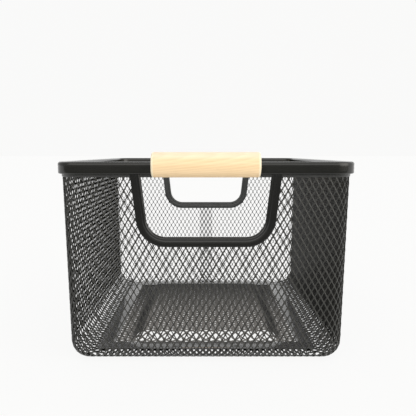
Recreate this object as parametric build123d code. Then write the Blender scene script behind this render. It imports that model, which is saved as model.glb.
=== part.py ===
from build123d import *
import math
import os

# Wire locker basket: an expanded-steel wall and floor, a rolled steel rim, hemmed hand holes
# at the front and back, and a round wooden grip over each hand hole. Millimetres, Z up, the
# front faces -Y, and the origin is the middle of the underside.

# Overall size, over the rim
rim_width = 311.0
rim_depth = 330.0
basket_height = 215.0

# General clearances
sheet_clearance = 0.2
seam_clearance = 0.3
bend_clearance = 0.05
cut_overrun = 4.0

# Turns, in degrees
quarter_turn = 90
half_turn = 180

# Wall sheet
mesh_thickness = 1.0
rim_overhang = 4.6
wall_taper = 2.0
base_turn_radius = 20.0
corner_land = 2.5
lap_width = 22.0

# Diamond net
net_gap_width = 15.0
net_gap_height = 25.5
net_strand = 2.2
net_smallest_gap_share = 0.2

# Rim bead, a rolled channel, and the folded hem that it grips
bead_height = 12.5
bead_thickness = 10.0
bead_sheet = 1.2
bead_edge_radius = 3.0
hem_drop = 3.2
hem_sheet = 1.2
mesh_tuck = 5.0

# Hand hole and its folded trim
hand_hole_width = 133.0
hand_hole_drop = 61.3
hand_hole_narrowing = 7.2
hand_hole_corner_radius = 20.0
trim_width = 9.9
trim_thickness = 5.0
trim_lip = 3.4

# Wooden grip and its screws
grip_length = 109.0
grip_diameter = 26.5
grip_sink = 3.5
grip_edge_radius = 2.0
grip_slot_clearance = 0.3
screw_spacing = 70.0
screw_drop = 7.0
screw_shank_diameter = 3.5
screw_head_diameter = 7.0
screw_head_height = 2.2
screw_recess = 3.2
screw_bite = 4.0
screw_clearance = 0.15

# Floor strips and floor panel
strip_width = 17.8
strip_thickness = 1.6
strip_setback_sides = 4.2
strip_setback_ends = 10.2
plateau_height = 9.0
plateau_border_sides = 18.0
plateau_border_ends = 5.0
plateau_slope_run = 11.0
plateau_corner_radius = 16.0

# Levels
bead_foot = basket_height - bead_height
hem_foot = bead_foot - hem_drop
mesh_top = hem_foot + mesh_tuck
wall_foot = base_turn_radius
wall_rise = mesh_top - wall_foot

# Wall outline, outer face, at its top and at its foot
wall_corner_radius = base_turn_radius + corner_land
wall_half_x = rim_width / 2 - rim_overhang
wall_half_y = rim_depth / 2 - rim_overhang
foot_half_x = wall_half_x - wall_taper
foot_half_y = wall_half_y - wall_taper
wall_lean = math.atan(wall_taper / wall_rise)
panel_height = wall_rise / math.cos(wall_lean)

# Front grip and its screws, which run along Y from a seat in the grip's inner side
grip_y = bead_thickness / 2 - rim_depth / 2
grip_z = basket_height - grip_sink
screw_z = basket_height - screw_drop
screw_seat_y = grip_y + grip_diameter / 2 - screw_recess
screw_tip_y = grip_y - bead_thickness / 2 - grip_slot_clearance - screw_bite

# Floor outline
turn_end_x = foot_half_x - base_turn_radius
turn_end_y = foot_half_y - base_turn_radius
strip_half_x = turn_end_x - strip_setback_sides
strip_half_y = turn_end_y - strip_setback_ends
seam_half_x = strip_half_x - strip_width / 2
seam_half_y = strip_half_y - strip_width / 2


def ring(outset, inset, low, high):
    """An upright ring whose faces follow the wall's top outline, outset and inset from it."""
    outer = RectangleRounded(
        2 * (wall_half_x + outset), 2 * (wall_half_y + outset), wall_corner_radius + outset
    )
    inner = RectangleRounded(
        2 * (wall_half_x - inset), 2 * (wall_half_y - inset), wall_corner_radius - inset
    )
    return Pos(0, 0, low) * extrude(outer - inner, high - low)


def turned(shape):
    """The same piece at the opposite side of the basket."""
    return Rot(0, 0, half_turn) * shape


# Diamond net


def diamond(u, v):
    """The corners of one gap, centred on u and v and narrowed by half a strand all round."""
    half_u = net_gap_width / 2
    half_v = net_gap_height / 2
    keep = 1 - net_strand / 2 * math.hypot(1 / half_u, 1 / half_v)
    return [
        (u - half_u * keep, v),
        (u, v - half_v * keep),
        (u + half_u * keep, v),
        (u, v + half_v * keep),
    ]


def area(points):
    """The area inside a run of corners that goes round anticlockwise."""
    return sum((x0 * y1 - x1 * y0) / 2 for (x0, y0), (x1, y1) in edges_of(points))


def edges_of(outline):
    """The edges of a closed outline, each as its two ends."""
    return list(zip(outline, outline[1:] + outline[:1]))


def side_of(edge, point):
    """How far a point lies to the left of an edge."""
    (x0, y0), (x1, y1) = edge
    x, y = point
    return ((x1 - x0) * (y - y0) - (y1 - y0) * (x - x0)) / math.dist(*edge)


def clipped(points, edges):
    """What is left of a convex gap to the left of every edge."""
    for edge in edges:
        kept = []
        for before, here in zip(points[-1:] + points[:-1], points):
            side_before = side_of(edge, before)
            side = side_of(edge, here)
            if (side > 0) != (side_before > 0):
                share = side_before / (side_before - side)
                kept.append(tuple(b + share * (h - b) for b, h in zip(before, here)))
            if side > 0:
                kept.append(here)
        points = kept
    return points


def gaps_in(outline, keep_out=None):
    """The gaps of the staggered net, cut off at an outline and where they enter keep_out."""
    low_v = min(v for u, v in outline)
    columns = math.ceil(max(u for u, v in outline) / (net_gap_width / 2))
    rows = math.ceil((max(v for u, v in outline) - low_v) / (net_gap_height / 2))
    least = net_smallest_gap_share * area(diamond(0, 0))
    gaps = []
    for row in range(rows + 1):
        for column in range(-columns, columns + 1):
            if (row + column) % 2:
                continue
            centre = (column * net_gap_width / 2, low_v + row * net_gap_height / 2)
            gap = clipped(diamond(*centre), edges_of(outline))
            if keep_out:
                start, end = min(edges_of(keep_out), key=lambda edge: side_of(edge, centre))
                gap = clipped(gap, [(end, start)])
            if area(gap) > least:
                gaps.append(gap)
    return gaps


def net(outline_face, gaps, thickness):
    """A flat net: one holed face with a thickness, from its own plane upwards."""
    holes = [Wire.make_polygon([Vector(u, v) for u, v in gap], close=True) for gap in gaps]
    return extrude(Face(outline_face.face().outer_wire(), holes), thickness)


# Wall panels, drawn flat on their inner face with v from the foot up the slope


def slope_height(level):
    """Where a level lies on a leaning panel."""
    return (level - wall_foot) / math.cos(wall_lean)


def strip_outline(foot_half, top_half, low, high):
    """The four corners of an upright strip, anticlockwise from its lower left."""
    return [(-foot_half, low), (foot_half, low), (top_half, high), (-top_half, high)]


def panel_outline(foot_half, top_half):
    """A panel's corners, just clear of the bends beside it and of the turn under it."""
    clear_foot = foot_half - bend_clearance
    return strip_outline(clear_foot, top_half - bend_clearance, bend_clearance, panel_height)


def netted_outline(foot_half, top_half):
    """The part of a panel that has gaps, up to where the hem hides it."""
    border = net_strand / 2
    top = slope_height(hem_foot)
    return strip_outline(foot_half - border, top_half - border, border, top)


def hand_hole_points(outset):
    """The hand hole's corners, anticlockwise from its lower left, outset all round."""
    top_half = hand_hole_width / 2 + outset
    foot_half = top_half - hand_hole_narrowing
    low = slope_height(hem_foot - hand_hole_drop) - outset
    return [(-foot_half, low), (foot_half, low), (top_half, panel_height), (-top_half, panel_height)]


def hand_hole_face(outset, radius):
    """The hand hole with its two round lower corners, run out past the panel's top."""
    low_left, low_right, top_right, top_left = hand_hole_points(outset)
    lean = (top_right[0] - low_right[0]) / (top_right[1] - low_right[1])
    above = panel_height + cut_overrun
    spread = lean * cut_overrun
    face = Polygon(
        low_left,
        low_right,
        (top_right[0] + spread, above),
        (top_left[0] - spread, above),
        align=None,
    )
    return fillet(face.vertices().group_by(Axis.Y)[0], radius)


def front_plane():
    """The front panel's inner face."""
    return Plane(
        origin=(0, mesh_thickness - foot_half_y, wall_foot),
        x_dir=(1, 0, 0),
        z_dir=(0, -math.cos(wall_lean), -math.sin(wall_lean)),
    )


def side_plane():
    """The right panel's inner face."""
    return Plane(
        origin=(foot_half_x - mesh_thickness, 0, wall_foot),
        x_dir=(0, 1, 0),
        z_dir=(math.cos(wall_lean), 0, -math.sin(wall_lean)),
    )


def end_panel():
    """The front or back net with its hand hole."""
    halves = (foot_half_x - wall_corner_radius, wall_half_x - wall_corner_radius)
    outset = trim_lip + sheet_clearance
    outline = Polygon(*panel_outline(*halves), align=None)
    outline -= hand_hole_face(outset, hand_hole_corner_radius + outset)
    gaps = gaps_in(netted_outline(*halves), hand_hole_points(outset + net_strand))
    return front_plane() * net(outline, gaps, mesh_thickness)


def side_panel():
    """The left or right net."""
    halves = (foot_half_y - wall_corner_radius, wall_half_y - wall_corner_radius)
    outline = Polygon(*panel_outline(*halves), align=None)
    return side_plane() * net(outline, gaps_in(netted_outline(*halves)), mesh_thickness)


def lap_strip():
    """The end of the wrapped sheet that laps inside the back panel, under its hand hole."""
    half = lap_width / 2
    top = slope_height(hem_foot - hand_hole_drop) - trim_width - sheet_clearance
    outline = Polygon(*strip_outline(half, half, bend_clearance, top), align=None)
    netted = half - net_strand / 2
    gaps = gaps_in(strip_outline(netted, netted, net_strand / 2, top - net_strand / 2))
    strip = net(outline, gaps, mesh_thickness)
    return turned(front_plane() * Pos(0, 0, -mesh_thickness) * strip)


# Wall bends


def gap_cutter(plane, reach):
    """A straight cutter for one gap, out along the plane's normal from its origin."""
    points = [Vector(u, v) for u, v in diamond(0, 0)]
    return plane * extrude(Face(Wire.make_polygon(points, close=True)), reach)


def corner_bend():
    """The upright bend at the corner towards +X and +Y, from the wall's foot to its top."""
    centre_x = foot_half_x - wall_corner_radius
    centre_y = foot_half_y - wall_corner_radius
    outer = Circle(wall_corner_radius) - Circle(wall_corner_radius - mesh_thickness)
    square = Rectangle(wall_corner_radius, wall_corner_radius, align=(Align.MIN, Align.MIN))
    section = Pos(centre_x, centre_y, wall_foot) * (outer & square)
    run = Vector(wall_taper, wall_taper, wall_rise)
    bend = extrude(section, run.length, dir=run)
    column_step = net_gap_width / 2 / wall_corner_radius
    rows = int((hem_foot - wall_foot) / (net_gap_height / 2))
    cutters = []
    for row in range(1, rows):
        for column in (-1, 0, 1):
            if (row + column) % 2:
                continue
            rise = row * net_gap_height / 2
            shift = wall_taper * rise / wall_rise
            angle = math.pi / 4 + column * column_step
            plane = Plane(
                origin=(centre_x + shift, centre_y + shift, wall_foot + rise),
                x_dir=(-math.sin(angle), math.cos(angle), 0),
                z_dir=(math.cos(angle), math.sin(angle), 0),
            )
            cutters.append(gap_cutter(plane, wall_corner_radius + cut_overrun))
    return bend - cutters


def turn_profile():
    """The base turn's section in local X and Y: from the wall's foot round to the floor."""
    outer = Circle(base_turn_radius) - Circle(base_turn_radius - mesh_thickness)
    square = Rectangle(base_turn_radius, base_turn_radius, align=(Align.MIN, Align.MAX))
    return outer & square


def straight_turn(half_length, offset, lengthways):
    """The turn under one flat panel, with its row of gaps."""
    section = Plane(origin=(offset, 0, base_turn_radius), x_dir=(1, 0, 0), z_dir=(0, -1, 0))
    turn = extrude(section * turn_profile(), half_length, both=True)
    columns = int(half_length / net_gap_width - 1 / 2)
    cutters = []
    for column in range(-columns, columns + 1):
        plane = Plane(
            origin=(offset, column * net_gap_width, base_turn_radius),
            x_dir=(0, 1, 0),
            z_dir=(1, 0, -1),
        )
        cutters.append(gap_cutter(plane, base_turn_radius + cut_overrun))
    turn -= cutters
    return turn if lengthways else Rot(0, 0, quarter_turn) * turn


def corner_turn():
    """The turn under one upright bend, swept about the bend's own axis."""
    section = Plane(origin=(corner_land, 0, base_turn_radius), x_dir=(1, 0, 0), z_dir=(0, -1, 0))
    turn = revolve(section * turn_profile(), Axis.Z, quarter_turn)
    return Pos(foot_half_x - wall_corner_radius, foot_half_y - wall_corner_radius, 0) * turn


def four_corners(shape):
    """A corner piece and its mirror images at the other corners."""
    left = mirror(shape, Plane.YZ)
    return Compound([shape, left, mirror(shape, Plane.XZ), mirror(left, Plane.XZ)])


def base_flange():
    """The flat edge of the wall sheet, turned in under the floor strips."""
    outer = RectangleRounded(2 * turn_end_x, 2 * turn_end_y, corner_land)
    window = Rectangle(2 * seam_half_x, 2 * seam_half_y)
    return extrude(outer - window, mesh_thickness)


# Rim


def screw_bars(radius, start, end):
    """Two round bars along Y, on the axes of the front grip's screws."""
    bar = Rot(quarter_turn, 0, 0) * Cylinder(radius, abs(end - start))
    middle = (start + end) / 2
    return [Pos(x, middle, screw_z) * bar for x in (-screw_spacing / 2, screw_spacing / 2)]


def screw_holes():
    """The clear holes for the front grip's screws, from their heads' seats to past their tips."""
    radius = screw_shank_diameter / 2 + screw_clearance
    return screw_bars(radius, screw_seat_y, screw_tip_y - screw_clearance)


def rim_band():
    """The rolled channel: round top edges, hollow, with lips turned in against the hem."""
    inner = bead_thickness - rim_overhang
    band = ring(rim_overhang, inner, bead_foot, basket_height)
    band = fillet(band.edges().group_by(Axis.Z)[-1], bead_edge_radius)
    cavity_top = basket_height - bead_sheet
    band -= ring(rim_overhang - bead_sheet, inner - bead_sheet, bead_foot + bead_sheet, cavity_top)
    hem_out = 2 * sheet_clearance + hem_sheet
    band -= ring(hem_out, hem_out + mesh_thickness, bead_foot - cut_overrun, bead_foot + 2 * bead_sheet)
    for hole in screw_holes():
        band -= hole
        band -= turned(hole)
    return band


def rim_hem():
    """The folded strip that caps the sheet's top edge and fills the bead's slot."""
    out = sheet_clearance + hem_sheet
    top = basket_height - bead_sheet
    hem = ring(out, out + mesh_thickness, hem_foot, top)
    hem -= ring(sheet_clearance, sheet_clearance + mesh_thickness, hem_foot, top - hem_sheet)
    for hole in screw_holes():
        hem -= hole
        hem -= turned(hole)
    return hem


# Hand-hole trim


def hand_hole_trim():
    """The folded strip round the front hand hole: a rolled inner edge and a slot for the sheet."""
    low_left, low_right, top_right, top_left = hand_hole_points(0)
    path = FilletPolyline(top_left, low_left, low_right, top_right, radius=hand_hole_corner_radius)
    roll = trim_thickness / 2
    profile = Pos(roll, 0) * Circle(roll)
    profile += Pos(roll, 0) * Rectangle(
        trim_width - roll, trim_thickness, align=(Align.MIN, Align.CENTER)
    )
    profile -= Pos(trim_lip, 0) * Rectangle(
        trim_width, mesh_thickness + 2 * sheet_clearance, align=(Align.MIN, Align.CENTER)
    )
    down = path % 0
    outward = Vector(down.Y, -down.X, 0)
    start = Plane(origin=path @ 0, x_dir=outward, z_dir=down)
    trim = sweep(start * profile, path=path)
    top = slope_height(hem_foot) - sheet_clearance
    lid = Box(
        hand_hole_width + 2 * (trim_width + cut_overrun),
        mesh_tuck + trim_width,
        trim_thickness + cut_overrun,
        align=(Align.CENTER, Align.MIN, Align.CENTER),
    )
    trim -= Pos(0, top, 0) * lid
    return front_plane() * Pos(0, 0, mesh_thickness / 2) * trim


# Grips


def grip():
    """The front grip: a round bar slotted from below to sit down over the rim."""
    bar = Pos(0, grip_y, grip_z) * Rot(0, quarter_turn, 0) * Cylinder(grip_diameter / 2, grip_length)
    bar = fillet(bar.edges().filter_by(GeomType.CIRCLE), grip_edge_radius)
    slot = Box(
        grip_length + cut_overrun,
        bead_thickness + 2 * grip_slot_clearance,
        grip_diameter,
        align=(Align.CENTER, Align.CENTER, Align.MAX),
    )
    bar -= Pos(0, grip_y, basket_height) * slot
    for hole in screw_holes():
        bar -= hole
    bore = screw_head_diameter / 2 + screw_clearance
    for mouth in screw_bars(bore, screw_seat_y, grip_y + grip_diameter / 2 + cut_overrun):
        bar -= mouth
    return bar


def grip_screws():
    """The two screws that hold the front grip, driven from inside the basket."""
    shanks = screw_bars(screw_shank_diameter / 2, screw_seat_y, screw_tip_y)
    head_end = screw_seat_y + screw_head_height
    heads = screw_bars(screw_head_diameter / 2, screw_seat_y, head_end)
    return Compound([shank + head for shank, head in zip(shanks, heads)])


# Floor


def floor_strip(width, depth, x, y):
    """One flat strip lying on the sheets that it joins."""
    strip = Box(width, depth, strip_thickness, align=(Align.CENTER, Align.CENTER, Align.MIN))
    return Pos(x, y, mesh_thickness) * strip


def floor_mesh():
    """The floor panel, flat under the strips and netted inside them, with a raised middle."""
    side_edge = strip_half_x - strip_width
    end_edge = strip_half_y - strip_width
    foot_x = side_edge - plateau_border_sides
    foot_y = end_edge - plateau_border_ends
    top_x = foot_x - plateau_slope_run
    top_y = foot_y - plateau_slope_run
    foot = RectangleRounded(2 * foot_x, 2 * foot_y, plateau_corner_radius)
    top = RectangleRounded(2 * top_x, 2 * top_y, plateau_corner_radius)
    rise = plateau_height - mesh_thickness
    hollow = loft([foot, Pos(0, 0, rise) * top], ruled=True)
    panel_x = 2 * (seam_half_x - seam_clearance)
    panel_y = 2 * (seam_half_y - seam_clearance)
    panel = extrude(Rectangle(panel_x, panel_y), mesh_thickness)
    panel += Pos(0, 0, mesh_thickness) * hollow
    panel -= hollow
    netted_x = side_edge - net_strand / 2
    netted_y = end_edge - net_strand / 2
    gaps = gaps_in(strip_outline(netted_x, netted_x, -netted_y, netted_y))
    faces = [Face(Wire.make_polygon([Vector(u, v) for u, v in gap], close=True)) for gap in gaps]
    return panel - [extrude(face, plateau_height + cut_overrun) for face in faces]


# The nodes

end_net = end_panel()
side_net = side_panel()
side_turn = straight_turn(foot_half_y - wall_corner_radius, turn_end_x, True)
end_turn = straight_turn(foot_half_x - wall_corner_radius, turn_end_y, False)
corner_turns = four_corners(corner_turn())
trim_piece = hand_hole_trim()
grip_piece = grip()
screw_pair = grip_screws()
strip_y = strip_half_y - strip_width / 2
strip_x = strip_half_x - strip_width / 2
side_strip_length = 2 * (strip_half_y - strip_width)

nodes = {
    "wall_mesh_front": end_net,
    "wall_mesh_back": Compound([turned(end_net), lap_strip()]),
    "wall_mesh_right": side_net,
    "wall_mesh_left": turned(side_net),
    "wall_mesh_corner_bends": four_corners(corner_bend()),
    "wall_mesh_base_turns": Compound(
        [side_turn, turned(side_turn), end_turn, turned(end_turn), *corner_turns]
    ),
    "wall_mesh_base_flange": base_flange(),
    "floor_mesh": floor_mesh(),
    "floor_strip_front": floor_strip(2 * strip_half_x, strip_width, 0, -strip_y),
    "floor_strip_back": floor_strip(2 * strip_half_x, strip_width, 0, strip_y),
    "floor_strip_left": floor_strip(strip_width, side_strip_length, -strip_x, 0),
    "floor_strip_right": floor_strip(strip_width, side_strip_length, strip_x, 0),
    "rim_band": rim_band(),
    "rim_hem": rim_hem(),
    "hand_hole_trim_front": trim_piece,
    "hand_hole_trim_back": turned(trim_piece),
    "grip_front": grip_piece,
    "grip_back": turned(grip_piece),
    "grip_screws_front": screw_pair,
    "grip_screws_back": turned(screw_pair),
}

os.makedirs("parts", exist_ok=True)
for name, shape in nodes.items():
    export_step(shape, f"parts/{name}.step")
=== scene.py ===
import bmesh
import bpy
import math
from mathutils import Matrix, Vector


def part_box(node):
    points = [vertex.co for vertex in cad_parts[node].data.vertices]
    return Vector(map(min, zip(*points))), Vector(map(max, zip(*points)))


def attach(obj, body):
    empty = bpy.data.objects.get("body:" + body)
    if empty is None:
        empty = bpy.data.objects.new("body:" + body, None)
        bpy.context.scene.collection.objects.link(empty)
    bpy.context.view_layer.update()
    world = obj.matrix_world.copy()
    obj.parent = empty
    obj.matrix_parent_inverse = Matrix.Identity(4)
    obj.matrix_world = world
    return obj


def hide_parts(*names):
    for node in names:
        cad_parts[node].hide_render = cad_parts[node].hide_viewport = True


# The dressed model of a locker basket: nets of expanded steel, a rolled rim, folded trims,
# flat strips and wooden grips. Metres, Z up, and the front faces -Y.

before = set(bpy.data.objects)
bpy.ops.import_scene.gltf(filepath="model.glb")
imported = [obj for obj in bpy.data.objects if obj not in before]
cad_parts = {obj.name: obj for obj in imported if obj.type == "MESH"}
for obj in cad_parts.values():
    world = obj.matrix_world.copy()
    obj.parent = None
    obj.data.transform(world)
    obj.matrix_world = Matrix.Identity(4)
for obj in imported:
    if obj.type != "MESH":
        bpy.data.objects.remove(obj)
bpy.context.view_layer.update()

# Sizes read from the frame
rim_low, rim_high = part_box("rim_band")
hem_low, hem_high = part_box("rim_hem")
bends_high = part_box("wall_mesh_corner_bends")[1]
turns_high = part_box("wall_mesh_base_turns")[1]
flange_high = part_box("wall_mesh_base_flange")[1]
panel_low, panel_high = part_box("floor_mesh")
trim_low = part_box("hand_hole_trim_front")[0]
grip_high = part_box("grip_front")[1]
side_strip_low, side_strip_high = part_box("floor_strip_right")
end_strip_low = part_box("floor_strip_back")[0]

# Wall sheet
sheet_thickness = 0.001
wall_corner_radius = 0.0225
lap_width = 0.022
lap_step = 0.0015
lap_ramp = 0.009
wall_foot = turns_high.z
wall_top = bends_high.z
turn_radius = turns_high.x - flange_high.x
corner_land = wall_corner_radius - turn_radius
wall_taper = bends_high.x - turns_high.x
wall_lean = math.atan2(wall_taper, wall_top - wall_foot)
foot_centre_x = turns_high.x - wall_corner_radius
foot_centre_y = turns_high.y - wall_corner_radius
bend_middle = wall_corner_radius - sheet_thickness / 2
turn_middle = turn_radius - sheet_thickness / 2
turn_length = turn_middle * math.pi / 2

# The wall sheet laid out flat, as lengths round the basket from the front's middle
flat_x = foot_centre_x + wall_taper / 2
flat_y = foot_centre_y + wall_taper / 2
bend_length = bend_middle * math.pi / 2
side_start = flat_x + bend_length
side_end = side_start + 2 * flat_y
half_round = 2 * flat_x + 2 * flat_y + 2 * bend_length

# Net: pitch, strands and knuckles
cell_width = 0.00692
cell_height = 0.01184
wall_strand = 0.00064
wall_gauge = 0.00096
floor_strand = 0.00134
floor_gauge = 0.0013
floor_lift = 0.0005
knuckle_half_width = 0.0006
knuckle_half_height = 0.0012
strand_slant = -math.radians(30)
pressed_share = 0.02

# How full the strands are, wall by wall
front_fullness = 1.4
side_fullness = 1.85
back_fullness = 0.5
flange_fullness = 2.15
side_depth = 1.2
back_blend = 0.014

# Hand hole, at the trim's inner edge
solid_trim_width = 0.0099
hole_top_half = 0.0665
hole_narrowing = 0.0072
hole_corner_radius = 0.020
hole_low = trim_low.z + solid_trim_width
hole_lean = hole_narrowing / (wall_top - hole_low)

# Trim: a rolled edge and a flat band
trim_width = 0.0106
trim_edge_radius = 0.0008
trim_seam = 0.0004
roll_radius = 0.0025
roll_start = 55
roll_sweep = 250
roll_steps = 12
band_half_thickness = 0.0022
band_edge_steps = 4

# Floor panel
plateau_border_x = 0.018
plateau_border_y = 0.005
plateau_slope = 0.011
plateau_corner_radius = 0.016
plateau_top = panel_high.z
plateau_half_x = side_strip_low.x - plateau_border_x
plateau_half_y = end_strip_low.y - plateau_border_y
flank_fullness = 1.7
nose_fullness = 0.9
flank_edge = 0.003

# Rim bead, and the fold below it
bead_depth = 0.010
bead_top_radius = 0.0027
bead_foot_radius = 0.0014
bead_bulge = 0.0004
bulge_shares = (0.25, 0.5, 0.75)
rim_centre_x = bends_high.x - wall_corner_radius
rim_centre_y = bends_high.y - wall_corner_radius
bead_out = rim_high.x - rim_centre_x
bead_in = bead_out - bead_depth
hem_depth = 0.0038
hem_out = hem_high.x - rim_centre_x
hem_in = hem_out - hem_depth
hem_foot_radius = 0.0011
hem_top_radius = 0.0006
hem_slope = 0.0005

# Rounded edges, bends and merged points
strip_edge = 0.0003
grip_edge = 0.0004
screw_edge = 0.0001
edge_segments = 3
corner_steps = 5
bend_steps = 12
quarter_turn = math.pi / 2
smooth_angle = math.radians(32)
sharp_angle = math.radians(40)
flat_angle = math.radians(0.5)
merge_gap = 0.00001
solid_merge_gap = 0.000005

# Baked paint, with its noises as scale and detail
patch_noise = (60, 4)
peel_noise = (700, 2)
gloss_spread = 0.1
paint_ior = 1.5
net_peel = 0.00002
net_gloss = 0.32
net_ior = 1.4
# The net's side walls are made metallic so that they reflect less and look darker, as painted
# shade
side_shade_metal = 0.85
# Where the net is painted paler on the front wall, as painted light
front_light_shares = (0.2, 0.8)
# Where the net's painted shade on the side walls begins and ends
side_shade_shares = (0.8, 0.92)
floor_gloss = 0.25
floor_ior = 1.5
# How much painted shade darkens the plateau's flanks
flank_shade_cover = 0.9
flank_matt = 0.2
# Painted light: the floor panel's paint turns paler from the back to the front over this run
painted_light_run = (0.1, -0.1)
strip_gloss = 0.12
strip_ior = 2.2
# Softness of the painted shade line along the strips' edges
strip_shade_line = 0.00005
matt = 0.9

# Wood of the grips, with its noises as scale, detail and stretch
grip_half_length = grip_high.x
wander_noise = (9, 3, (1, 5, 5))
ring_noise = (1, 4, (30, 1, 1))
streak_noise = (1, 5, (28, 900, 900))
pore_noise = (1, 2, (110, 2600, 2600))
ring_density = 330
ring_wobble = 0.35
grain_across = 0.55
grain_along = 0.11
grain_wander = 0.006
late_rise = 0.8
late_fall = 3
late_round = 0.3
pore_edge = (0.62, 0.75)
pore_cover = 0.35
# Painted highlight along the grips' top
top_highlight_edge = (grip_high.z - 0.009, grip_high.z - 0.003)
top_highlight_cover = 0.4
# Painted highlight on the grips' rounded ends
end_highlight_edge = (0.0016, 0.0026)
wood_gloss = 0.33
wood_gloss_spread = 0.12
wood_relief = 0.00008
oil_weight = 0.12
oil_gloss = 0.25

# Steel of the screws
brush_noise = (900, 2, (1, 0.1, 1))
steel_gloss = 0.25
steel_gloss_spread = 0.2

# Stage
floor_size = 60
floor_drop = 0.0002
floor_shade_fade = (-0.72, -0.48)
floor_albedo = 0.06
floor_glow = 0.9

# World light, by direction: across, along and up run from -1 to 1
left_tent = (-0.9, -0.45)
camera_side = (-0.75, 0.0)
overhead_rise = (0.8, 0.95)
overhead_back = (0.1, 0.25)
overhead_front = (0.2, 0.08)
screen_foot = (0.05, 0.2)
screen_head = (0.65, 0.45)
screen_side = (-0.35, -0.6)
window_axis = (0.84, -0.45, 0.3)
window_edge = (0.84, 1.0)

# Lamp
lamp_place = (0, -0.28, 1.1)
lamp_aim = (0, -0.05, 0.1)
lamp_size = 0.5
lamp_power = 0.4

# Camera, from the photograph's own perspective
photo_width = 416
focal_pixels = 431.13
middle_column = 206.0
camera_place = Vector((0, -0.5961, 0.22375))
camera_pitch = 0.127
sensor_width = 36.0
nearest_view = 0.01
farthest_view = 50


# Working with meshes


def alone(piece):
    """Selects one piece and nothing else."""
    bpy.ops.object.select_all(action="DESELECT")
    piece.select_set(True)
    bpy.context.view_layer.objects.active = piece


def edit(piece):
    """Puts one piece alone in edit mode with nothing selected."""
    alone(piece)
    bpy.ops.object.mode_set(mode="EDIT")
    bpy.ops.mesh.select_all(action="DESELECT")


def leave():
    """Ends the work in edit mode."""
    bpy.ops.object.mode_set(mode="OBJECT")


def pick(piece, kind, test):
    """Selects the faces or edges in edit mode whose middle passes the test."""
    bpy.ops.mesh.select_all(action="DESELECT")
    bpy.ops.mesh.select_mode(type={"faces": "FACE", "edges": "EDGE"}[kind])
    shape = bmesh.from_edit_mesh(piece.data)
    for part in getattr(shape, kind):
        middle = sum((vertex.co for vertex in part.verts), Vector()) / len(part.verts)
        if test(middle):
            part.select_set(True)
    shape.select_flush_mode()
    bmesh.update_edit_mesh(piece.data)


def modifier(piece, kind, **settings):
    """Adds a modifier to a piece and applies it."""
    alone(piece)
    bpy.ops.object.modifier_add(type=kind)
    added = piece.modifiers[-1]
    for name, value in settings.items():
        setattr(added, name, value)
    bpy.ops.object.modifier_apply(modifier=added.name)


def named(name):
    """Names the object that was just made."""
    piece = bpy.context.object
    piece.name = name
    piece.data.name = name
    return piece


def smoothed(piece):
    """Shades a piece smooth between its sharp edges."""
    piece.select_set(True)
    bpy.ops.object.shade_smooth_by_angle(angle=smooth_angle)
    return piece


def finish_piece(piece, finish, slot, *nodes):
    """Gives a piece its material and its body, and hides the nodes that it stands for."""
    piece.data.materials.clear()
    piece.data.materials.append(finish)
    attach(piece, "root")
    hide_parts(*nodes)


def eased(share):
    """Runs smoothly from 0 to 1 as a share does."""
    share = min(max(share, 0), 1)
    return share * share * (3 - 2 * share)


# Nets


def crossing(name, strand):
    """One knuckle of the net with its four half strands, flat and slanted like a louvre."""
    bpy.ops.object.select_all(action="DESELECT")
    bpy.ops.mesh.primitive_circle_add(vertices=4, radius=1, fill_type="NGON")
    piece = named(name)
    edit(piece)
    bpy.ops.mesh.select_all(action="SELECT")
    size = (knuckle_half_width, knuckle_half_height, 1)
    bpy.ops.transform.resize(value=size, center_override=(0, 0, 0))
    for across in (-1, 1):
        for up in (-1, 1):
            start = Vector((across * knuckle_half_width / 2, up * knuckle_half_height / 2, 0))
            end = Vector((across * cell_width / 4, up * cell_height / 4, 0))
            pick(piece, "edges", lambda middle: (middle - start).length < strand / 4)
            bpy.ops.mesh.extrude_region_move(TRANSFORM_OT_translate={"value": end - start})
            flat = (strand / knuckle_half_width, 0, 1)
            bpy.ops.transform.resize(value=flat, center_override=end)
    leave()
    for vertex in piece.data.vertices:
        x, y, z = vertex.co
        arm = math.copysign(cell_width / 4, x) if abs(y) > cell_height / 8 else 0
        vertex.co.z = (x - arm) * math.tan(strand_slant)
    return piece


def flat_net(name, low, high, strand):
    """A flat net between two corners, copied from one crossing in a staggered pattern."""
    piece = crossing(name, strand)
    columns = math.ceil(max(-low[0], high[0]) / cell_width) + 1
    first_row = math.floor(low[1] / cell_height) - 1
    rows = math.ceil(high[1] / cell_height) + 1 - first_row
    start = Vector((-columns * cell_width, first_row * cell_height, 0))
    piece.data.transform(Matrix.Translation(start))
    for step, count in (
        ((cell_width / 2, cell_height / 2, 0), 2),
        ((cell_width, 0, 0), 2 * columns + 1),
        ((0, cell_height, 0), rows),
    ):
        modifier(
            piece,
            "ARRAY",
            count=count,
            use_relative_offset=False,
            use_constant_offset=True,
            constant_offset_displace=step,
        )
    edit(piece)
    bpy.ops.mesh.select_all(action="SELECT")
    bpy.ops.mesh.remove_doubles(threshold=strand / 20)
    for corner, side in ((low, -1), (high, 1)):
        for normal in ((side, 0, 0), (0, side, 0)):
            place = (corner[0], corner[1], 0)
            bpy.ops.mesh.select_all(action="SELECT")
            bpy.ops.mesh.bisect(plane_co=place, plane_no=normal, clear_outer=True)
    leave()
    return piece


def cut_faces(piece, test):
    """Deletes the faces whose middle passes the test."""
    edit(piece)
    pick(piece, "faces", test)
    bpy.ops.mesh.delete(type="FACE")
    leave()


def filled(u, v, fullness):
    """Widens a strand or knuckle about its own middle."""
    on_arm = round(v / (cell_height / 4)) % 2
    half = cell_width / 2
    middle = (math.floor(u / half) + 0.5) * half if on_arm else round(u / half) * half
    return middle + (u - middle) * fullness


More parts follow.
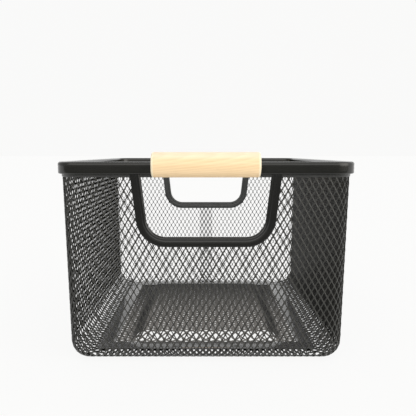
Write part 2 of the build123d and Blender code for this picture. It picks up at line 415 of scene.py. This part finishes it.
def bend_sheet(piece, place, pressed, gauge, fullness):
    """Bends a flat net to its place, and gives it its thickness."""
    depth = piece.vertex_groups.new(name="depth")
    for vertex in piece.data.vertices:
        u, v, offset = vertex.co
        width_share, depth_share = fullness(u, v)
        point, normal = place(filled(u, v, width_share), v)
        vertex.co = point + normal * offset * pressed(u, v)
        depth.add([vertex.index], depth_share / side_depth, "REPLACE")
    modifier(
        piece,
        "SOLIDIFY",
        thickness=gauge * side_depth,
        offset=0,
        vertex_group="depth",
        thickness_vertex_group=0,
    )


# Wall sheet, with s round the basket from the front's middle and v up from the wall's foot


def section_of_wall(v):
    """How far out, how high and how far up its lean a point of the sheet is, and its normal."""
    if v >= 0:
        rise = v * math.cos(wall_lean)
        return bend_middle, wall_foot + rise, rise, math.cos(wall_lean), -math.sin(wall_lean)
    if v > -turn_length:
        angle = -v / turn_middle
        out = corner_land + turn_middle * math.cos(angle)
        height = wall_foot - turn_middle * math.sin(angle)
        return out, height, 0, math.cos(angle), -math.sin(angle)
    return corner_land - (-v - turn_length), wall_foot - turn_middle, 0, 0, -1


def wall_place(s, v):
    """The sheet's middle and its outward normal at s and v."""
    out, z, rise, flat_normal, up_normal = section_of_wall(v)
    grown = wall_taper * rise / (wall_top - wall_foot)
    centre_x = foot_centre_x + grown
    centre_y = foot_centre_y + grown
    way = abs(s)
    if way < flat_x:
        side = Vector((0, -1, 0))
        place = Vector((way / flat_x * centre_x, -centre_y - out, z))
    elif way < side_start:
        angle = (way - flat_x) / bend_length * quarter_turn - quarter_turn
        side = Vector((math.cos(angle), math.sin(angle), 0))
        place = Vector((centre_x, -centre_y, z)) + side * out
    elif way < side_end:
        side = Vector((1, 0, 0))
        along = (way - side_start) / flat_y - 1
        place = Vector((centre_x + out, along * centre_y, z))
    elif way < side_end + bend_length:
        angle = (way - side_end) / bend_length * quarter_turn
        side = Vector((math.cos(angle), math.sin(angle), 0))
        place = Vector((centre_x, centre_y, z)) + side * out
    else:
        side = Vector((0, 1, 0))
        place = Vector(((half_round - way) / flat_x * centre_x, centre_y + out, z))
    normal = side * flat_normal + Vector((0, 0, up_normal))
    if s < 0:
        place.x = -place.x
        normal.x = -normal.x
    inside = eased((s - half_round + lap_width / 2 + lap_ramp) / lap_ramp)
    place -= normal * lap_step * inside
    return place, normal


def wall_pressed(s, v):
    """The net is pressed flatter where it lies under the strips."""
    share = min(max((v + turn_length) / turn_middle, 0), 1)
    return pressed_share + (1 - pressed_share) * share


def wall_fullness(s, v):
    """How wide and how deep the strands are: fullest at the sides and finest at the back."""
    way = abs(s)
    to_side = eased((way - flat_x) / bend_length)
    to_back = eased((way - side_end + back_blend) / (2 * back_blend))
    width = front_fullness + (side_fullness - front_fullness) * to_side
    width += (back_fullness - side_fullness) * to_back
    depth = 1 + (side_depth - 1) * to_side + (back_fullness - side_depth) * to_back
    on_base = eased(-v / turn_length)
    widening = (flange_fullness - 1) * on_base * (1 - to_side)
    return width * (1 + widening), depth + (1 - depth) * on_base


def beyond_hole(x, z):
    """How far outside the hand hole's edge a point lies."""
    half = hole_top_half - hole_narrowing + hole_lean * (z - hole_low)
    across = abs(x) - half
    below = hole_low - z
    if across > -hole_corner_radius and below > -hole_corner_radius:
        reach = math.hypot(across + hole_corner_radius, below + hole_corner_radius)
        return reach - hole_corner_radius
    return max(across, below)


def in_hole(middle):
    """Whether a point of the flat sheet is cut away for a hand hole."""
    s, v, offset = middle
    if v <= 0 or flat_x < abs(s) < half_round - flat_x:
        return False
    place, normal = wall_place(s, v)
    return beyond_hole(place.x, place.z) < trim_width / 2


def off_flange(middle):
    """Whether a point of the flat sheet is past the flange's inner edge or in its corner."""
    s, v, offset = middle
    way = abs(s)
    inward = -v - turn_length
    if inward <= 0:
        return False
    place, normal = wall_place(s, v)
    if way < flat_x or way > half_round - flat_x:
        return abs(place.x) > panel_high.x
    if side_start < way < side_end:
        return abs(place.x) < panel_high.x
    return inward > corner_land * pressed_share


def wall_nets():
    """The upright net and its turned base, bent from one flat sheet."""
    reach = half_round + lap_width / 2
    top = (wall_top - wall_foot) / math.cos(wall_lean) - wall_gauge
    foot = -turn_length - (flange_high.y - panel_high.y)
    upright = flat_net("wall_net", (-reach, 0), (reach, top), wall_strand)
    cut_faces(upright, in_hole)
    bend_sheet(upright, wall_place, wall_pressed, wall_gauge, wall_fullness)
    base = flat_net("base_net", (-reach, foot), (reach, 0), wall_strand)
    cut_faces(base, off_flange)
    bend_sheet(base, wall_place, wall_pressed, wall_gauge, wall_fullness)
    return upright, base


# Floor panel, whose diamonds lie across the basket


def into_plateau(x, y):
    """How far a point lies inside the foot of the plateau."""
    across = plateau_half_x - abs(x)
    along = plateau_half_y - abs(y)
    if across < plateau_corner_radius and along < plateau_corner_radius:
        reach = math.hypot(plateau_corner_radius - across, plateau_corner_radius - along)
        return plateau_corner_radius - reach
    return min(across, along)


def floor_place(u, v):
    """The panel's middle and its upward normal at u and v."""
    x, y = v, -u
    rise = (plateau_top - sheet_thickness) * eased(into_plateau(x, y) / plateau_slope)
    height = floor_gauge / 2 + floor_lift + rise
    return Vector((x, y, height)), Vector((0, 0, 1))


def floor_pressed(u, v):
    """The panel is pressed flatter where it lies under the strips."""
    x, y = v, -u
    under = max(abs(x) - side_strip_low.x, abs(y) - end_strip_low.y)
    share = min(max(-under / plateau_border_y, 0), 1)
    return pressed_share + (1 - pressed_share) * share


def on_slope(inward):
    """How far a length in from the plateau's foot lies on its slope."""
    return eased(inward / flank_edge + 1) * eased((plateau_slope - inward) / flank_edge + 1)


def floor_fullness(u, v):
    """The strands are fuller on the plateau's left and right flanks, and finer on its noses."""
    x, y = v, -u
    across = plateau_half_x - abs(x)
    along = plateau_half_y - abs(y)
    flank = on_slope(across) * eased(along / plateau_corner_radius)
    nose = on_slope(along) * eased(across / plateau_corner_radius)
    return 1 + (flank_fullness - 1) * flank + (nose_fullness - 1) * nose, 1


def floor_net():
    """The panel's net, laid across and pressed up into its plateau."""
    low = (panel_low.y, panel_low.x)
    high = (panel_high.y, panel_high.x)
    piece = flat_net("floor_net", low, high, floor_strand)
    bend_sheet(piece, floor_place, floor_pressed, floor_gauge, floor_fullness)
    return piece


# Bars bent from a section


def rounded_section(low, high, foot_radius, top_radius, bulge=0):
    """The corners of an upright section with round corners, anticlockwise from its lower left."""
    (left, foot), (right, top) = low, high
    points = []
    for x, z, radius, start in (
        (left, foot, foot_radius, 2),
        (right, foot, foot_radius, 3),
        (right, top, top_radius, 0),
        (left, top, top_radius, 1),
    ):
        centre_x = x + math.copysign(radius, (left + right) / 2 - x)
        centre_z = z + math.copysign(radius, (foot + top) / 2 - z)
        for step in range(corner_steps + 1):
            angle = (start + step / corner_steps) * quarter_turn
            across = radius * math.cos(angle)
            points.append((centre_x + across, centre_z + radius * math.sin(angle)))
        if start == 3 and bulge:
            for share in bulge_shares:
                lift = bulge * 4 * share * (1 - share)
                height = foot + foot_radius + share * (top - top_radius - foot - foot_radius)
                points.append((right + lift - bulge, height))
    return points


def loop_of(name, points):
    """A closed wire through points, selected in edit mode."""
    bpy.ops.object.select_all(action="DESELECT")
    bpy.ops.mesh.primitive_circle_add(vertices=len(points), radius=1, fill_type="NOTHING")
    piece = named(name)
    for vertex, point in zip(piece.data.vertices, points):
        vertex.co = point
    edit(piece)
    bpy.ops.mesh.select_mode(type="EDGE")
    bpy.ops.mesh.select_all(action="SELECT")
    return piece


def run(vector):
    """Draws the selected section on in a straight line."""
    bpy.ops.mesh.extrude_region_move(TRANSFORM_OT_translate={"value": vector})


def turn(centre, angle):
    """Turns the selected section on about an upright line."""
    bpy.ops.mesh.spin(steps=bend_steps, angle=-angle, center=centre, axis=(0, 0, 1))


def close_bar(piece, ends):
    """Merges a ring's ends, or fills a bar's, and turns its faces outwards."""
    bpy.ops.mesh.select_all(action="SELECT")
    bpy.ops.mesh.remove_doubles(threshold=merge_gap)
    if ends:
        bpy.ops.mesh.select_all(action="DESELECT")
        bpy.ops.mesh.select_mode(type="EDGE")
        bpy.ops.mesh.select_non_manifold()
        bpy.ops.mesh.edge_face_add()
    bpy.ops.mesh.select_all(action="SELECT")
    bpy.ops.mesh.normals_make_consistent(inside=False)
    leave()
    return smoothed(piece)


def rim_ring(name, section):
    """A bar bent round the basket's top, with its section given from the corners' centres."""
    piece = loop_of(name, [(0, -rim_centre_y - out, z) for out, z in section])
    run((rim_centre_x, 0, 0))
    turn((rim_centre_x, -rim_centre_y, 0), quarter_turn)
    run((0, 2 * rim_centre_y, 0))
    turn((rim_centre_x, rim_centre_y, 0), quarter_turn)
    run((-2 * rim_centre_x, 0, 0))
    turn((-rim_centre_x, rim_centre_y, 0), quarter_turn)
    run((0, -2 * rim_centre_y, 0))
    turn((-rim_centre_x, -rim_centre_y, 0), quarter_turn)
    run((rim_centre_x, 0, 0))
    return close_bar(piece, False)


def rim_bead():
    """The rolled bead round the top, with a slightly bulged face."""
    low = (bead_in, rim_low.z)
    high = (bead_out, rim_high.z)
    section = rounded_section(low, high, bead_foot_radius, bead_top_radius, bead_bulge)
    return rim_ring("rim_bead", section)


def rim_fold():
    """The lip below the bead, which slopes in towards its foot."""
    low = (hem_in, hem_low.z)
    high = (hem_out, hem_high.z)
    height = hem_high.z - hem_low.z
    section = []
    for x, z in rounded_section(low, high, hem_foot_radius, hem_top_radius):
        outer = (x - hem_in) / (hem_out - hem_in)
        section.append((x - hem_slope * outer * (hem_high.z - z) / height, z))
    return rim_ring("rim_fold", section)


def trim_section():
    """The rolled edge and the flat band, as distances from the hole's edge and from the sheet."""
    points = []
    for step in range(roll_steps + 1):
        angle = math.radians(roll_start + roll_sweep * step / roll_steps)
        points.append((roll_radius * (1 + math.cos(angle)), roll_radius * math.sin(angle)))
    band_start = points[-1][0] + trim_seam
    band_end = trim_width - trim_edge_radius - trim_seam
    for side in (-1, 1):
        face = [(band_start, side * band_half_thickness), (band_end, side * band_half_thickness)]
        for step in range(band_edge_steps + 1):
            angle = quarter_turn * step / band_edge_steps
            across = trim_width - trim_edge_radius * (1 - math.sin(angle))
            off = band_half_thickness - trim_edge_radius * (1 - math.cos(angle))
            face.append((across, side * off))
        points += face if side < 0 else face[::-1]
    return points


def hole_trim(name):
    """The strip folded round the front hand hole, laid out flat and then stood on the wall."""
    slope = math.cos(wall_lean)
    foot = (hole_low - wall_foot) / slope
    head = (rim_low.z - wall_foot) / slope
    lean = math.atan(hole_lean * slope)
    foot_half = hole_top_half - hole_narrowing
    down = Vector((math.sin(lean), -math.cos(lean), 0))
    away = Vector((-math.cos(lean), -math.sin(lean), 0))
    lean_shift = math.tan(lean) * hole_corner_radius
    middle_half = foot_half + lean_shift - hole_corner_radius / math.cos(lean)
    middle = Vector((-middle_half, foot + hole_corner_radius, 0))
    bend = middle + away * hole_corner_radius
    start = bend - down * (head - bend.y) / math.cos(lean)
    section = [start + away * out + Vector((0, 0, off)) for out, off in trim_section()]
    piece = loop_of(name, section)
    run(bend - start)
    turn(middle, quarter_turn - lean)
    run((2 * middle_half, 0, 0))
    turn(middle * Vector((-1, 1, 0)), quarter_turn - lean)
    run(Vector((math.sin(lean), math.cos(lean), 0)) * (bend - start).length)
    close_bar(piece, True)
    sheet = Matrix(
        (
            (1, 0, 0, 0),
            (0, -math.sin(wall_lean), -math.cos(wall_lean), -foot_centre_y - bend_middle),
            (0, math.cos(wall_lean), -math.sin(wall_lean), wall_foot),
            (0, 0, 0, 1),
        )
    )
    piece.data.transform(sheet)
    return piece


# Copies and reworked solids


def turned_copy(piece, name):
    """The same piece at the back of the basket."""
    alone(piece)
    bpy.ops.object.duplicate()
    twin = named(name)
    edit(twin)
    bpy.ops.mesh.select_all(action="SELECT")
    bpy.ops.transform.rotate(value=math.pi, orient_axis="Z", center_override=(0, 0, 0))
    leave()
    return twin


def reworked(name, node, edge):
    """A merged copy of a node's solid, with its sharp edges rounded."""
    bpy.ops.object.select_all(action="DESELECT")
    bpy.ops.mesh.primitive_cube_add(size=1)
    piece = named(name)
    piece.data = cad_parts[node].data.copy()
    piece.data.name = name
    edit(piece)
    bpy.ops.mesh.select_all(action="SELECT")
    bpy.ops.mesh.remove_doubles(threshold=solid_merge_gap)
    bpy.ops.mesh.dissolve_limited(angle_limit=flat_angle)
    bpy.ops.mesh.normals_make_consistent(inside=False)
    bpy.ops.mesh.select_mode(type="EDGE")
    bpy.ops.mesh.select_all(action="DESELECT")
    bpy.ops.mesh.edges_select_sharp(sharpness=sharp_angle)
    bpy.ops.mesh.bevel(offset=edge, segments=edge_segments, affect="EDGES")
    leave()
    return smoothed(piece)


# Materials


class Value:
    """A socket of a material's node, with sums written as expressions."""

    def __init__(self, paint, socket):
        self.paint = paint
        self.socket = socket

    def __add__(self, other):
        return self.paint.math("ADD", self, other)

    __radd__ = __add__

    def __sub__(self, other):
        return self.paint.math("SUBTRACT", self, other)

    def __rsub__(self, other):
        return self.paint.math("SUBTRACT", other, self)

    def __mul__(self, other):
        return self.paint.math("MULTIPLY", self, other)

    __rmul__ = __mul__

    def __abs__(self):
        return self.paint.math("ABSOLUTE", self, 0)


class Paint:
    """A node material that is being made."""

    def __init__(self, tree):
        self.tree = tree
        tree.nodes.clear()

    def node(self, kind, settings=None, sockets=None, output=0):
        """Makes a node, with its settings first and then its sockets' values or links."""
        node = self.tree.nodes.new(kind)
        for name, value in (settings or {}).items():
            setattr(node, name, value)
        for name, value in (sockets or {}).items():
            if isinstance(value, Value):
                self.tree.links.new(value.socket, node.inputs[name])
            else:
                node.inputs[name].default_value = value
        return Value(self, node.outputs[output]) if node.outputs else None

    def math(self, operation, first, second, distance=None):
        sockets = {0: first, 1: second}
        if distance is not None:
            sockets[2] = distance
        return self.node("ShaderNodeMath", {"operation": operation}, sockets)

    def split(self, vector):
        """The three coordinates of a vector."""
        first = self.node("ShaderNodeSeparateXYZ", None, {0: vector})
        return [Value(self, socket) for socket in first.socket.node.outputs]

    def ramp(self, value, low, high):
        """Runs smoothly from 0 at the low value to 1 at the high one."""
        settings = {"interpolation_type": "SMOOTHSTEP"}
        return self.node("ShaderNodeMapRange", settings, {"Value": value, 1: low, 2: high})

    def place(self, stretch=(1, 1, 1)):
        """The object's own coordinates, stretched."""
        where = self.node("ShaderNodeTexCoord", output="Object")
        sockets = {"Vector": where, "Scale": stretch}
        return self.node("ShaderNodeMapping", {"vector_type": "POINT"}, sockets)

    def noise(self, scale, detail, stretch=(1, 1, 1)):
        sockets = {"Vector": self.place(stretch), "Scale": scale, "Detail": detail}
        return self.node("ShaderNodeTexNoise", None, sockets, "Fac")

    def mix(self, share, first, second):
        sockets = {0: share, 6: first, 7: second}
        return self.node("ShaderNodeMix", {"data_type": "RGBA"}, sockets, 2)

    def bump(self, height, distance):
        sockets = {"Height": height, "Distance": distance, "Strength": 1.0}
        return self.node("ShaderNodeBump", None, sockets)

    def patches(self):
        """The broad unevenness of a baked coat."""
        return self.noise(*patch_noise)

    def peel(self, depth):
        """The fine orange peel of a baked coat."""
        return self.bump(self.noise(*peel_noise), depth)

    def shader(self, sockets):
        return self.node("ShaderNodeBsdfPrincipled", None, sockets)

    def cover(self, shader):
        self.node("ShaderNodeOutputMaterial", None, {"Surface": shader})

    def surface(self, sockets):
        self.cover(self.shader(sockets))


def material(name):
    """A new material and its paint."""
    made = bpy.data.materials.new(name)
    made.use_nodes = True
    return made, Paint(made.node_tree)


def black_paint(name, dark, light, gloss, peel_depth):
    """Black baked paint: a slightly uneven colour and gloss over a fine orange peel."""
    made, paint = material(name)
    patches = paint.patches()
    paint.surface(
        {
            "Base Color": paint.mix(patches, dark, light),
            "Roughness": gloss + (patches - 0.5) * gloss_spread,
            "Normal": paint.peel(peel_depth),
            "IOR": paint_ior,
        }
    )
    return made


def net_paint():
    """The net's paint, with painted light making it paler on the front wall and painted shade
    making it dark on the side walls.
    """
    made, paint = material("net_black")
    patches = paint.patches()
    across, along, up = paint.split(paint.place())
    front = [-foot_centre_y - share * wall_corner_radius for share in front_light_shares]
    side = [foot_centre_x + share * wall_corner_radius for share in side_shade_shares]
    # Painted light: the net's colour turns paler on the front wall
    front_light_mask = paint.ramp(along, *front)
    # Painted shade: the side walls turn metallic and darker
    side_shade_mask = paint.ramp(abs(across), *side)
    black = paint.mix(patches, (0.004, 0.004, 0.0035, 1), (0.009, 0.009, 0.007, 1))
    # The paler colour is painted light on the front wall
    painted_light_colour = paint.mix(patches, (0.021, 0.021, 0.0185, 1), (0.031, 0.0305, 0.027, 1))
    paint.surface(
        {
            "Base Color": paint.mix(front_light_mask, black, painted_light_colour),
            "Metallic": side_shade_mask * side_shade_metal,
            "Roughness": net_gloss + (patches - 0.5) * gloss_spread,
            "Normal": paint.peel(net_peel),
            "IOR": net_ior,
        }
    )
    return made


def floor_paint():
    """The floor's paint, with painted light making it paler towards the front and painted shade
    making it dark on the plateau's flanks.
    """
    made, paint = material("floor_black")
    patches = paint.patches()
    across, along, up = paint.split(paint.place())
    inward = plateau_half_x - abs(across)
    flank = paint.ramp(inward, -flank_edge, 0)
    flank = flank * paint.ramp(inward, plateau_slope + flank_edge, plateau_slope)
    corner_start = plateau_half_y - plateau_corner_radius
    flank = flank * paint.ramp(abs(along), plateau_half_y, corner_start)
    # The paler colour is painted light towards the front; the kept colour is the plain black
    painted_light_colour = paint.mix(patches, (0.145, 0.136, 0.127, 1), (0.175, 0.165, 0.155, 1))
    kept = paint.mix(patches, (0.006, 0.0058, 0.0055, 1), (0.012, 0.0115, 0.011, 1))
    colour = paint.mix(paint.ramp(along, *painted_light_run), kept, painted_light_colour)
    paint.surface(
        {
            # Painted shade: the plateau's flanks are mixed towards near black
            "Base Color": paint.mix(flank * flank_shade_cover, colour, (0.006, 0.006, 0.006, 1)),
            "Roughness": floor_gloss + flank * flank_matt + (patches - 0.5) * gloss_spread,
            "Normal": paint.peel(net_peel),
            "IOR": floor_ior,
        }
    )
    return made


def strip_paint():
    """Baked paint with a grey sheen on the strips' faces, and matt black painted shade along
    their edges for the shadow gap beneath them.
    """
    made, paint = material("strip_black")
    patches = paint.patches()
    across, along, up = paint.split(paint.place())
    face = paint.shader(
        {
            "Base Color": paint.mix(patches, (0.075, 0.075, 0.077, 1), (0.095, 0.095, 0.097, 1)),
            "Roughness": strip_gloss + (patches - 0.5) * gloss_spread,
            "IOR": strip_ior,
        }
    )
    # Painted shade: the strips' edges are matt black with no sheen, standing for the shadow gap
    # beneath them
    black = (0.003, 0.003, 0.003, 1)
    edge = paint.shader({"Base Color": black, "Roughness": matt, "Specular IOR Level": 0.0})
    shade_line_top = side_strip_high.z - strip_edge
    on_face = paint.ramp(up, shade_line_top - strip_shade_line, shade_line_top + strip_shade_line)
    paint.cover(paint.node("ShaderNodeMixShader", None, {0: on_face, 1: edge, 2: face}))
    return made


def pale_wood():
    """Pale close-grained wood: growth rings cut slantwise and fine pores, with painted highlights
    making its ends and top paler.
    """
    made, paint = material("pale_wood")
    along, across, up = paint.split(paint.place())
    wander = paint.noise(*wander_noise) - 0.5
    deep = across * grain_across - up + along * grain_along + wander * grain_wander
    ring = paint.noise(*ring_noise) * ring_wobble + deep * ring_density
    ring = paint.math("FRACT", ring, 0)
    late = paint.math("SMOOTH_MIN", ring * late_rise, (1 - ring) * late_fall, late_round)
    streaks = paint.noise(*streak_noise)
    pores = paint.noise(*pore_noise)
    tan = paint.mix(late, (0.885, 0.645, 0.365, 1), (0.66, 0.39, 0.16, 1))
    pale = paint.mix(streaks, (0.915, 0.71, 0.455, 1), tan)
    pored = paint.ramp(pores, *pore_edge) * pore_cover
    flecked = paint.mix(pored, pale, (0.62, 0.42, 0.21, 1))
    # Painted highlight: the top of the grip is mixed towards a pale cream
    painted_top_highlight = paint.ramp(up, *top_highlight_edge) * top_highlight_cover
    bright = paint.mix(painted_top_highlight, flecked, (0.86, 0.78, 0.66, 1))
    # Painted highlight: the grip's ends are paler
    inward = paint.ramp(grip_half_length - abs(along), *end_highlight_edge)
    paint.surface(
        {
            "Base Color": paint.mix(inward, (0.90, 0.78, 0.57, 1), bright),
            "Roughness": wood_gloss + (streaks - 0.5) * wood_gloss_spread,
            "Coat Weight": oil_weight,
            "Coat Roughness": oil_gloss,
            "Normal": paint.bump(pores + streaks, wood_relief),
        }
    )
    return made


def screw_steel():
    """Plain steel, brushed across."""
    made, paint = material("screw_steel")
    brushed = paint.noise(*brush_noise)
    paint.surface(
        {
            "Base Color": (0.5, 0.5, 0.5, 1),
            "Metallic": 1.0,
            "Roughness": steel_gloss + brushed * steel_gloss_spread,
        }
    )
    return made


# Stage, light and camera


def stage_floor():
    """A white floor that glows as an overexposed sweep does, with painted shade darkening it
    towards the camera.
    """
    bpy.ops.object.select_all(action="DESELECT")
    bpy.ops.mesh.primitive_plane_add(size=floor_size, location=(0, 0, -floor_drop))
    floor = named("stage_floor")
    made, paint = material("stage_white")
    across, along, up = paint.split(paint.place())
    # Painted shade: the floor's glow dims towards the camera
    lit = paint.ramp(along, *floor_shade_fade)
    paint.surface(
        {
            "Base Color": (floor_albedo, floor_albedo, floor_albedo, 1),
            "Roughness": matt,
            "Specular IOR Level": 0.0,
            "Emission Color": paint.mix(lit, (0.28, 0.28, 0.27, 1), (1.0, 1.0, 0.995, 1)),
            "Emission Strength": floor_glow,
        }
    )
    floor.data.materials.append(made)


def lamp_over_basket():
    """A soft square lamp, turned towards the basket."""
    light = bpy.data.lights.new("lamp_over_basket", "AREA")
    light.shape = "SQUARE"
    light.size = lamp_size
    light.energy = lamp_power
    holder = bpy.data.objects.new("lamp_over_basket", light)
    holder.location = lamp_place
    away = Vector(lamp_aim) - Vector(lamp_place)
    holder.rotation_euler = away.to_track_quat("-Z", "Y").to_euler()
    bpy.context.scene.collection.objects.link(holder)


def studio_light():
    """A white tent, dark above the back, with a window at the right and a screen at the front."""
    world = bpy.data.worlds.new("studio")
    bpy.context.scene.world = world
    world.use_nodes = True
    paint = Paint(world.node_tree)
    across, along, up = paint.split(paint.node("ShaderNodeTexCoord", output="Generated"))
    lit = paint.ramp(across, *left_tent)
    tent = paint.mix(lit, (0.55, 0.55, 0.54, 1), (0.95, 0.95, 0.945, 1))
    tone = paint.mix(paint.ramp(along, *camera_side), (0.6, 0.6, 0.58, 1), tent)
    overhead = paint.ramp(up, *overhead_rise)
    above_back = overhead * paint.ramp(along, *overhead_back)
    above_front = overhead * paint.ramp(along, *overhead_front)
    tone = paint.mix(above_back, tone, (0.25, 0.25, 0.25, 1))
    tone = paint.mix(above_front, tone, (1.5, 1.5, 1.48, 1))
    screen = paint.ramp(up, *screen_foot) * paint.ramp(up, *screen_head)
    screen = screen * paint.ramp(along, *screen_side)
    tone = paint.mix(screen, tone, (2.6, 2.55, 2.45, 1))
    window = across * window_axis[0] + along * window_axis[1] + up * window_axis[2]
    tone = paint.mix(paint.ramp(window, *window_edge), tone, (3.4, 3.3, 3.1, 1))
    light = paint.node("ShaderNodeBackground", None, {"Color": tone, "Strength": 1.0})
    paint.node("ShaderNodeOutputWorld", None, {"Surface": light})


def photo_camera():
    """The camera at the photograph's place, with its picture's middle a little to the left."""
    camera = bpy.data.cameras.new("photo_camera")
    camera.sensor_width = sensor_width
    camera.lens = focal_pixels / photo_width * sensor_width
    camera.shift_x = (photo_width / 2 - middle_column) / photo_width
    camera.clip_start = nearest_view
    camera.clip_end = farthest_view
    holder = bpy.data.objects.new("photo_camera", camera)
    holder.location = camera_place
    holder.rotation_euler = (quarter_turn - camera_pitch, 0, 0)
    bpy.context.scene.collection.objects.link(holder)
    bpy.context.scene.camera = holder


# The finishes

net_black = net_paint()
floor_black = floor_paint()
rim_black = black_paint(
    "rim_black",
    dark=(0.004, 0.004, 0.003, 1),
    light=(0.008, 0.008, 0.006, 1),
    gloss=0.14,
    peel_depth=0.000002,
)
# The fold's black is paler than the bead's: a painted reflection of the bright floor below
fold_black_painted_reflection = black_paint(
    "fold_black_painted_reflection",
    dark=(0.02, 0.02, 0.019, 1),
    light=(0.034, 0.034, 0.032, 1),
    gloss=0.3,
    peel_depth=0.000005,
)
trim_black = black_paint(
    "trim_black",
    dark=(0.003, 0.003, 0.0025, 1),
    light=(0.006, 0.006, 0.005, 1),
    gloss=0.17,
    peel_depth=0.00001,
)
# The back trim's black is paler than the front trim's: painted light on the far side of the
# basket
back_black_painted_light = black_paint(
    "back_black_painted_light",
    dark=(0.028, 0.03, 0.03, 1),
    light=(0.04, 0.042, 0.042, 1),
    gloss=0.3,
    peel_depth=0.00001,
)
strip_black = strip_paint()
wood = pale_wood()
steel = screw_steel()

# The pieces

upright, base = wall_nets()
finish_piece(
    upright,
    net_black,
    "mesh_steel",
    "wall_mesh_front",
    "wall_mesh_back",
    "wall_mesh_left",
    "wall_mesh_right",
    "wall_mesh_corner_bends",
)
finish_piece(base, net_black, "mesh_steel", "wall_mesh_base_turns", "wall_mesh_base_flange")
finish_piece(floor_net(), floor_black, "mesh_steel", "floor_mesh")
finish_piece(rim_bead(), rim_black, "rim_steel", "rim_band")
finish_piece(rim_fold(), fold_black_painted_reflection, "rim_steel", "rim_hem")

front_trim = hole_trim("front_trim")
back_trim = turned_copy(front_trim, "back_trim")
finish_piece(back_trim, back_black_painted_light, "trim_steel", "hand_hole_trim_back")
finish_piece(front_trim, trim_black, "trim_steel", "hand_hole_trim_front")
for side in ("front", "back", "left", "right"):
    strip = reworked(side + "_strip", "floor_strip_" + side, strip_edge)
    finish_piece(strip, strip_black, "strip_steel", "floor_strip_" + side)

for side in ("front", "back"):
    grip = reworked(side + "_grip", "grip_" + side, grip_edge)
    finish_piece(grip, wood, "grip_wood", "grip_" + side)
    screws = reworked(side + "_screws", "grip_screws_" + side, screw_edge)
    finish_piece(screws, steel, "screw_steel", "grip_screws_" + side)

bpy.context.scene.view_settings.view_transform = "Standard"
stage_floor()
studio_light()
lamp_over_basket()
photo_camera()
